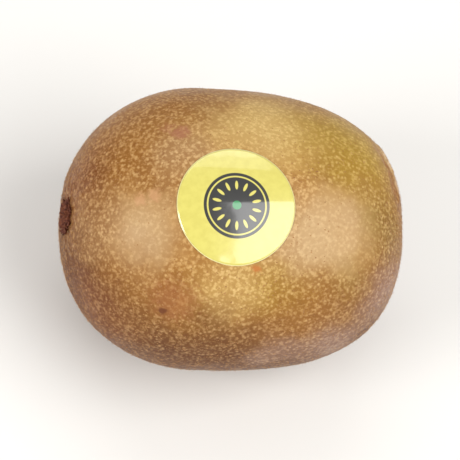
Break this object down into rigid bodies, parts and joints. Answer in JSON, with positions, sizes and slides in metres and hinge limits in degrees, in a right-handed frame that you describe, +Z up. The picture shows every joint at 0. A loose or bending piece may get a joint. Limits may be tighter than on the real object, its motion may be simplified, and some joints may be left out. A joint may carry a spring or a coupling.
{
  "type": "golden kiwi fruit",
  "caption": "Whole golden kiwi fruit lying on its side, with a woody stem scar, dried flower remains and a round sticker on its upper side.",
  "frame": {"origin": "on the surface that the fruit rests on, under the middle of its bounding box", "axes": "+X along the fruit's long axis toward the stem end, -X toward the blossom end, +Z up, and the sticker leans toward -Y"},
  "size_m": [0.0702, 0.0578, 0.0544],
  "materials": {
    "skin": "thin leathery golden-brown skin, olive in places, with fine tan specks and short hairs, soft satin gloss",
    "sticker": "glossy pale yellow film with a dark printed motif"
  },
  "bodies": {
    "root": {"fruit": "skin", "sticker": "sticker"}
  },
  "joints": []
}
